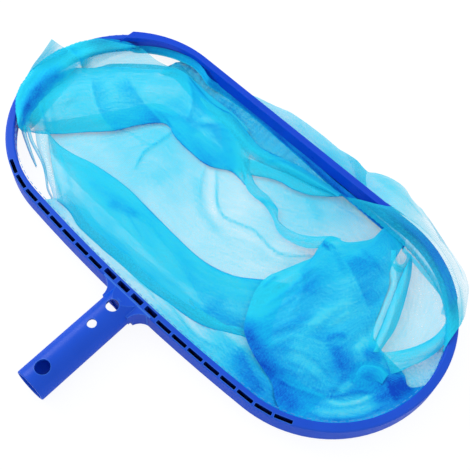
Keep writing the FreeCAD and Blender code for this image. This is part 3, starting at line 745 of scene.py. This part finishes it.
right_heap_creases = (
    ((10, [(262, 287), (270, 280), (278, 275)]), 0.6, 1.8, 2.0),
    ((12, [(308, 266), (314, 280), (310, 298)]), 0.5, 8.0, 0.9),
    ((13, [(300, 334), (320, 318), (342, 305), (358, 298)]), 0.8, 5.0, -1.6),
    ((13, [(326, 328), (340, 318), (352, 309)]), 0.4, 2.0, -1.0),
    ((12, [(262, 306), (290, 290), (314, 268)]), 0.6, 1.6, 1.0),
    ((12, [(262, 318), (292, 300), (320, 274)]), 0.3, 1.2, 0.8),
    ((12, [(270, 334), (292, 324), (316, 316)]), 0.3, 3.0, 1.0),
    ((12, [(266, 344), (288, 336), (306, 336)]), 0.3, 2.0, -1.0),
    ((10, [(270, 293), (285, 281), (302, 268)]), 0.5, 3.0, -1.2),
    ((5, [(245, 322), (249, 340), (256, 353), (266, 366), (276, 377)]), 0.6, 7.0, 3.0),
    ((7, [(262, 372), (272, 390), (284, 404), (300, 414)]), 0.2, 9.0, 3.0),
    ((9, [(286, 346), (302, 362), (316, 382)]), 0.8, 12.0, -1.2),
    ((11, [(276, 348), (300, 352), (322, 368), (334, 386)]), 0.4, 1.6, 0.9),
    ((11, [(284, 360), (304, 368), (322, 384)]), 0.3, 1.4, 0.8),
    ((13, [(326, 340), (336, 336), (347, 337)]), 0.6, 2.4, 2.2),
    ((12, [(336, 345), (339, 358), (342, 372)]), 0.3, 6.0, 1.9),
    ((12, [(366, 336), (360, 344), (355, 352)]), 0.4, 3.2, -1.8),
    ((12, [(322, 244), (326, 246.5), (330, 249)]), 1.2, 1.2, 4.0),
    ((12, [(316, 238), (322, 241), (330, 244), (336, 250)]), 0.4, 1.0, 2.2),
    ((12, [(326, 240), (334, 242), (341, 244)]), 0.2, 2.4, -2.0),
    ((12, [(334, 252), (340, 262), (344, 274)]), 0.4, 3.0, 0.9),
    ((12, [(360, 246), (368, 256), (380, 268)]), 0.4, 2.0, 0.9),
    ((11, [(362, 358), (372, 355), (382, 362)]), 0.8, 5.0, 2.4),
    ((11, [(344, 352), (350, 362), (350, 376)]), 0.3, 4.0, 1.0),
    ((10, [(338, 392), (344, 388), (352, 384)]), 0.4, 2.6, -2.6),
    ((9, [(326, 401), (340, 405), (356, 403), (374, 396)]), 0.4, 1.8, -2.8),
    ((9, [(322, 397), (338, 397), (356, 393), (372, 394)]), 0.6, 1.4, 2.0),
    ((9, [(312, 388), (324, 392), (336, 390)]), 0.4, 1.4, 1.6),
    ((10, [(306, 414), (322, 419), (345, 420), (368, 415), (388, 405)]), 0.6, 1.4, 2.2),
    ((10, [(308, 408), (330, 413), (360, 410), (382, 402)]), 0.2, 2.4, -1.6),
    ((8, [(386, 392), (398, 388), (408, 382)]), 0.8, 9.0, 5.0),
    ((8, [(372, 402), (386, 398), (398, 398)]), 0.4, 3.0, 1.6),
)
right_heap_laps = (
    ((13, [(343, 255), (350, 268), (358, 283), (365, 298), (371, 311)]), 1, 1.2, 12.0),
    ((12, [(350, 255), (365, 261), (379, 267), (389, 275)]), -1, 0.8, 10.0),
    ((8, [(276, 375), (290, 385), (308, 393), (326, 399)]), -1, 0.9, 10.0),
    ((11, [(300, 338), (314, 339), (324, 344), (331, 353), (337, 364), (341, 378), (333, 390),
           (320, 398)]), 1, 1.1, 7.0),
    ((11, [(272, 330), (290, 327), (312, 326), (330, 332)]), -1, 0.6, 8.0),
    ((12, [(298, 266), (304, 282), (300, 300), (288, 318)]), 1, 0.8, 12.0),
)
cloth("right_heap", right_heap_rails, waves=(0.8, 34.0, 16.0), creases=right_heap_creases,
      laps=right_heap_laps)

right_lump_rails = [
    (4.6, (9, 10), [(350, 384), (349, 374), (354, 364), (366, 361), (380, 364), (390, 373)]),
    ((5.4, 6.0, 5.8), (13, 14.5, 13), [(353, 382), (358, 374), (366, 371), (376, 373), (385, 379)]),
    ((6.2, 7.4, 6.4), (12, 13, 12), [(357, 385), (362, 381), (369, 379), (376, 381), (382, 385)]),
    (5.0, (9, 10), [(354, 391), (362, 393), (372, 393), (382, 390), (389, 386), (391, 378)]),
]
right_lump_creases = (
    ((13, [(358, 388), (367, 391), (377, 386)]), 0.6, 1.0, 2.0),
    ((13, [(352, 376), (356, 367), (367, 366), (380, 368), (388, 377)]), 0.6, 1.4, -1.4),
)
cloth("right_lump", right_lump_rails, waves=(0.4, 16.0, 7.0), creases=right_lump_creases)

# The straps: long folds that hang between the knot, the hem's right end and the lump, with a loop at the
# top of the inner one and single layers of netting between them.
right_pane_rails = [
    (1.2, (10, 6, 6, 8), [(390, 240), (396, 270), (396, 300), (388, 330), (372, 362)]),
    ((0.9, 0.85, 0.95), (9, 4, 4, 6), [(408, 245), (417, 270), (418, 295), (415, 325), (404, 362)]),
    ((0.9, 0.7, 0.7), (12, 12, 14, 12), [(420, 258), (434, 275), (446, 298), (449, 318), (447, 350)]),
]
cloth("right_pane", right_pane_rails, waves=(0.4, 24.0, 24.0))

pale_strap_rails = [
    (2.3, (9, 8, 9, 12), [(388, 262), (389, 282), (384, 298), (376, 318), (371, 336), (366, 352)]),
    (1.9, (11, 10, 11, 13), [(396, 264), (395, 284), (388, 301), (380, 320), (374, 337), (369, 353)]),
    (1.9, (9, 8, 9, 12), [(404, 268), (398, 286), (391, 304), (384, 322), (378, 338), (373, 354)]),
]
cloth("pale_strap", pale_strap_rails, waves=(0.3, 18.0, 6.0))

dark_strap_rails = [
    ((2.6, 3.2, 3.2), (10, 9, 9, 12),
     [(403, 272), (397, 287), (389, 306), (382, 324), (376, 338), (370, 350)]),
    ((2.2, 2.6, 2.2), (13, 12, 12, 14),
     [(408, 262), (404, 284), (396, 306), (389, 325), (381, 340), (375, 352)]),
    ((3.0, 3.2, 2.8), (10, 9, 9, 12),
     [(412, 254), (412, 268), (408, 289), (402, 311), (395, 329), (386, 343), (380, 352)]),
]
cloth("dark_strap", dark_strap_rails, waves=(0.4, 22.0, 6.0))

strap_loop_rails = [
    (2.2, (12, 9, 9, 12), [(391, 250), (391, 262), (396, 271), (403, 272), (409, 266), (412, 256)]),
    (1.2, (14, 12, 12, 14), [(396, 250), (396, 259), (399, 264), (403, 264), (406, 259), (407, 252)]),
]
cloth("strap_loop", strap_loop_rails, waves=(0.2, 8.0, 6.0))

outer_strap_rails = [
    ((0.9, 2.4, 2.8, 3.4), (11, 11, 12, 14),
     [(382, 352), (388, 352), (397, 351), (410, 348), (425, 342), (437, 334), (449, 318)]),
    ((0.9, 2.6, 2.6, 2.8), (13, 13, 14, 16),
     [(387, 362), (393, 362), (402, 360.5), (415, 356), (429, 350), (440, 341), (450, 328)]),
    ((0.9, 2.4, 2.6, 2.8), (11, 11, 12, 14),
     [(391, 374), (395, 373), (402, 370.5), (411, 366), (425, 360), (437, 352), (450, 338)]),
]
outer_strap_creases = (
    ((13, [(392, 352.5), (410, 349.5), (426, 343.5), (438, 335)]), 0.4, 0.8, 1.6),
    ((13, [(398, 371.5), (412, 366), (426, 359.5), (438, 351)]), 0.4, 0.8, 1.8),
    ((13, [(396, 362), (414, 357), (430, 350), (442, 340)]), 0.2, 2.2, -0.8),
)
cloth("outer_strap", outer_strap_rails, waves=(0.4, 24.0, 7.0), creases=outer_strap_creases)

lower_pane_rails = [
    (2.4, (8, 8, 9), [(392, 372), (399, 384), (408, 398)]),
    (1.7, (7, 7, 9), [(418, 362), (422, 374), (424, 390)]),
    (1.8, (12, 11, 12), [(450, 338), (446, 362), (434, 386)]),
]
cloth("lower_pane", lower_pane_rails, waves=(0.4, 14.0, 14.0))

# The spill: netting that has slipped out under the lip and, at the right end, over the lip and the rim. It
# lies on the table in one or two layers, and the hem shows as a line along the inside of the right end.
spill_left_rails = [
    ((1.6, 1.3, 1.4, 1.7, 1.8, 0.8), (1.5, 2.5),
     [(251, 94.5), (262, 99.5), (278, 107), (290, 112), (305, 122), (320, 133), (340, 149.5), (348, 154),
      (356, 159.5), (363, 167), (367, 171.5)]),
    ((1.4, 1.5, 1.7, 2.2, 2.8, 2.0), (2, 3),
     [(256, 101), (268, 108), (282, 116), (295, 124), (308, 134), (322, 146), (338, 158), (350, 168),
      (366, 178)]),
    ((1.5, 1.8, 2.1, 2.8, 2.8), 1.2,
     [(264, 114), (276, 124), (290, 136), (304, 148), (318, 160), (334, 172), (350, 186), (368, 198)]),
]
cloth("spill_left", spill_left_rails, waves=(0.5, 16.0, 9.0))

over_lip = 27.6
spill_right_rails = [
    (1.5, (12, 11, 10, 10, 11, 12, 13, 14, 13),
     [(346, 197.5), (358, 207), (371, 217.5), (384, 228), (400, 242), (418, 261), (431, 279), (440, 296),
      (445, 314), (445, 332), (443, 352)]),
    ((1.2, 0.9, 0.5, 0.45, 0.5, 0.9, 2.2), (26, *[over_lip] * 9, 23.5, 22.4),
     [(353, 198), (366, 203.5), (380, 211), (392, 220), (404, 229), (416, 240), (427, 252.5), (436, 267),
      (443, 284), (447, 301), (449, 319), (448, 343)]),
    ((1.2, 0.8, 0.45, 0.5, 0.9, 2.4), (*[over_lip] * 7, 23.5, 22.4),
     [(391, 206.5), (411, 220.5), (426, 233.5), (438, 248), (448, 264), (456, 282), (460, 300),
      (460.5, 314), (459.5, 327)]),
    ((1.8, 1.6, 0.6, 0.35, 0.35, 1.0), (6, 12, 20, 20, 20, 20, 20, 20, 18, 16),
     [(362, 187), (380, 200), (398, 207.5), (415, 219), (429.5, 232), (441.5, 247), (451, 263),
      (458, 281), (462, 300), (463, 320)]),
    ((0.8, 2.6, 1.2, 0.25, 0.22, 0.25, 0.4), (4, 5, 6, 6, 6),
     [(352, 166), (370, 175), (388, 182), (402, 192), (415, 205), (429, 220), (442, 238), (454, 258),
      (463, 278), (466, 300), (464, 318)]),
    ((0.6, 2.0, 0.8, 0.32, 0.3, 0.4), 3,
     [(346, 154), (357, 160), (367, 171.5), (376, 173), (386, 176), (396, 181), (405, 188), (413, 200),
      (425, 214), (434, 228), (440, 240), (449, 249), (457, 260), (465, 273), (469, 288), (468, 300),
      (465, 315)]),
]
spill_right_creases = (
    ((6, [(372, 178), (382, 188), (392, 197)]), 0.4, 3.0, -0.4),
    ((6, [(404, 196), (412, 208), (422, 220)]), 0.4, 1.2, 0.6),
    ((6, [(420, 200), (424, 214), (434, 230), (444, 246)]), 0.5, 1.2, 0.5),
    ((6, [(436, 236), (443, 248), (456, 262), (464, 280)]), 0.4, 1.0, 0.4),
)
cloth("spill_right", spill_right_rails, ("net_bag", "net_hem"), waves=(0.5, 26.0, 9.0),
      gather=(0.3, 6, 0.5), creases=spill_right_creases)

right_hem_line_rails = [
    (1.4, (13, 13, 14), [(404, 247), (416, 260), (427, 273), (438, 288), (446, 304), (447, 316)]),
    (1.2, (10, 10, 12), [(402, 251), (413, 263), (424, 276), (435, 289), (443, 302), (441, 314)]),
]
cloth("right_hem_line", right_hem_line_rails, ("net_hem",), waves=(0.2, 12.0, 12.0))

# The left end: the hem and the first hand's breadth of the bag, pulled over the rim, with one free peak
# above it and three gathered strands that run down from it into the bag.
left_wrap_rails = [
    ((1.2, 1.4, 1.2, 1), (13, 11, 10, 10, 11, 12, 16),
     [(17, 114), (16.5, 98), (21, 87), (30, 74), (42, 63), (57, 53), (73, 46), (90, 41.5), (101, 39.5)]),
    ((2.4, 3.6, 3.6, 3.2, 1.2, 0.9), (22, 22.6, 23, 23, 22.6, 22.3, 22.2),
     [(15.8, 112), (16.2, 98), (20.5, 86), (30, 72.5), (42, 61), (57, 51), (72, 44.5), (88, 40),
      (100, 38.3)]),
    ((2.6, 3.4, 3.6, 3.2, 1.2, 0.8), (23, 23.6, 23.6, 23.4, 22.8, 22.5, 22.3),
     [(17, 119), (19, 106), (25, 93), (35, 80), (46, 69), (60, 59), (76, 51), (94, 45.5), (108, 43.5),
      (119, 42.5)]),
    ((3, 4.8, 5.2, 4.2, 1.3, 0.9, 1.0), (22, 22.6, 23, 22.8, 22.5, 22.3, 22),
     [(18.5, 127), (22, 114), (30, 101), (40, 88), (52, 77), (64, 68), (80, 58.5), (100, 52), (120, 48.8),
      (138, 46.4)]),
    ((1.0, 1.4, 1.4, 1.0, 0.35, 0.5, 0.9), (12, 14, 14, 14, 14, 13, 12),
     [(22, 131), (30, 122), (40, 110), (50, 98), (61, 87), (72, 75), (86, 62.5), (102, 54.5), (120, 50.6),
      (139, 48.4)]),
    (0.25, (5, 6, 6, 6, 6, 7, 8, 9, 10, 11),
     [(26, 133), (34, 127), (43, 116), (53, 104), (63, 93), (76, 80), (94, 66), (110, 57), (126, 53),
      (141, 50)]),
]
left_wrap_creases = (
    ((22, [(24, 118), (28, 106), (34, 95), (43, 83), (55, 73), (66, 65)]), 0.2, 8.5, 1.9),
    ((22, [(26, 112), (32, 100), (42, 87)]), 0.2, 4.0, 0.8),
    ((22, [(22, 126), (24, 112), (30, 98)]), 0.4, 1.2, 1.2),
    ((21, [(33, 120), (38, 107), (46, 95)]), 0.3, 1.8, 1.8),
    ((19, [(40, 106), (44, 116), (49, 130)]), 0.4, 2.2, 2.2),
    ((19, [(30, 122), (34, 128), (40, 133)]), 0.4, 1.8, 1.4),
)
left_wrap_laps = (
    ((23, [(66, 46), (71, 51), (76, 56), (83, 61)]), 1, 2.2, 14.0),
)
cloth("left_wrap", left_wrap_rails, ("net_hem",), waves=(0.5, 12.0, 8.0),
      gather=(0.3, 5, 0.9), creases=left_wrap_creases, laps=left_wrap_laps)

left_peak_rails = [
    (1.2, (20, 26, 31, 36), [(27, 76), (33, 65), (42, 53), (51.5, 39)]),
    (1.6, (21, 26, 31, 36), [(36, 70), (42, 60), (48, 50), (52.5, 39.5)]),
    (0.7, (21, 25, 29, 33), [(50, 63), (54, 56), (57, 50), (58, 43.5)]),
    (0.8, (22, 23, 24, 24.5), [(62, 57), (66, 54), (68, 51.5), (68, 50)]),
]
cloth("left_peak", left_peak_rails, ("net_hem",), waves=(0.3, 14.0, 6.0))

strands = (
    (1.8, (15, 12, 8, 5, 2.5), [(20, 126), (22, 134), (26, 145), (31, 157), (36, 168)],
     [(26, 126), (27, 135), (30, 145), (34, 157), (37.5, 167)]),
    (1.4, (14, 10, 7, 4, 3), [(26, 128), (30, 141), (36, 153), (42, 165), (45, 178), (47, 190), (52, 200)],
     [(30, 128), (33, 140), (39, 151), (45, 164), (47.5, 178), (49, 189), (54, 199)]),
    (1.0, (10, 7, 6, 5, 4), [(35, 131), (37, 145), (41, 158), (45, 172), (50, 186), (54, 200)],
     [(50, 133), (50, 146), (52, 160), (55, 174), (60, 188), (64, 203)]),
)
crest_height_mm = 2.5
crest_pixels = 1.5
crest_share = 0.6
right_share = 0.9
for number, (layers, heights, left, right) in enumerate(strands, 1):
    crest = [((a[0] + b[0]) / 2, (a[1] + b[1]) / 2 - crest_pixels) for a, b in zip(left, right)]
    cloth(f"left_strand_{number}", [
        (layers, heights, left),
        (layers * crest_share, [height + crest_height_mm for height in heights], crest),
        (layers * right_share, heights, right),
    ], waves=(0.3, 18.0, 5.0))

# The stitches: light blue polyester thread that sews the net's hem along the rim's inner edge. Each dash
# that shows on top of the hem is a small solid of its own.
thread_blue = (0.09, 0.43, 0.88)
thread_paint, _, shader = new_material("pale_thread")
shader.inputs["Base Color"].default_value = (*thread_blue, 1)
shader.inputs["Roughness"].default_value = 0.7
finish_node("hem_stitches", thread_paint)

# The floor and the light: a white table top that keeps the net's soft shadow, a wide soft lamp from the
# left, as in the photograph, a weak one from beyond the lip, and an even pale room that shows as white.
table_white = (0.86, 0.87, 0.9)
shadow_grey = (0.15, 0.155, 0.165)
floor_reach = 6.0
floor_corners = [(x * floor_reach, y * floor_reach, 0) for x, y in ((-1, -1), (1, -1), (1, 1), (-1, 1))]
floor_mesh = bpy.data.meshes.new("floor")
floor_mesh.from_pydata(floor_corners, [], [(0, 1, 2, 3)])
floor = bpy.data.objects.new("floor", floor_mesh)
bpy.context.scene.collection.objects.link(floor)
floor_paint, add, shader = new_material("floor_paint")
shader.inputs["Base Color"].default_value = (*table_white, 1)
shader.inputs["Roughness"].default_value = 0.9
glow = add("ShaderNodeEmission", ("Color", (1, 1, 1, 1)), ("Strength", 0.90))
soft_shadow = add("ShaderNodeBsdfDiffuse", ("Color", (*shadow_grey, 1)))
both = add("ShaderNodeAddShader", (0, glow.outputs[0]), (1, soft_shadow.outputs[0]))
path = add("ShaderNodeLightPath")
glossy = add("ShaderNodeMath", (0, path.outputs["Is Camera Ray"]), (1, path.outputs["Is Glossy Ray"]),
             operation="MAXIMUM")
seen = add("ShaderNodeMath", (0, glossy.outputs[0]), (1, path.outputs["Is Transmission Ray"]),
           operation="MAXIMUM")
choice = add("ShaderNodeMixShader", (0, seen.outputs[0]), (1, shader.outputs[0]), (2, both.outputs[0]))
out = next(n for n in floor_paint.node_tree.nodes if n.type == "OUTPUT_MATERIAL")
floor_paint.node_tree.links.new(choice.outputs[0], out.inputs["Surface"])
floor_mesh.materials.append(floor_paint)

world = bpy.data.worlds.new("pale_room")
world.use_nodes = True
room = next(n for n in world.node_tree.nodes if n.type == "BACKGROUND")
room.inputs["Color"].default_value = (0.93, 0.96, 1.0, 1)
room.inputs["Strength"].default_value = 0.76
add = node_maker(world)
white_wall = add("ShaderNodeBackground", ("Color", (1, 1, 1, 1)))
camera_ray = add("ShaderNodeLightPath").outputs["Is Camera Ray"]
room_seen = add("ShaderNodeMixShader", (0, camera_ray), (1, room.outputs[0]), (2, white_wall.outputs[0]))
room_out = next(n for n in world.node_tree.nodes if n.type == "OUTPUT_WORLD")
world.node_tree.links.new(room_seen.outputs[0], room_out.inputs["Surface"])
bpy.context.scene.world = world


def soft_lamp(name, place, size, watts):
    """Square area lamp at a place, turned towards the net."""
    data = bpy.data.lights.new(name, "AREA")
    data.energy = watts
    data.size = size
    lamp = bpy.data.objects.new(name, data)
    lamp.location = place
    lamp.rotation_euler = (-Vector(place)).to_track_quat("-Z", "Y").to_euler()
    bpy.context.scene.collection.objects.link(lamp)


soft_lamp("window_lamp", place=(-1.0, -0.1, 0.66), size=0.7, watts=5.4)
soft_lamp("fill_lamp", place=(0.6, 0.9, 0.9), size=0.8, watts=1.2)

bpy.context.scene.view_settings.view_transform = "Standard"
bpy.context.scene.cycles.transparent_max_bounces = 24
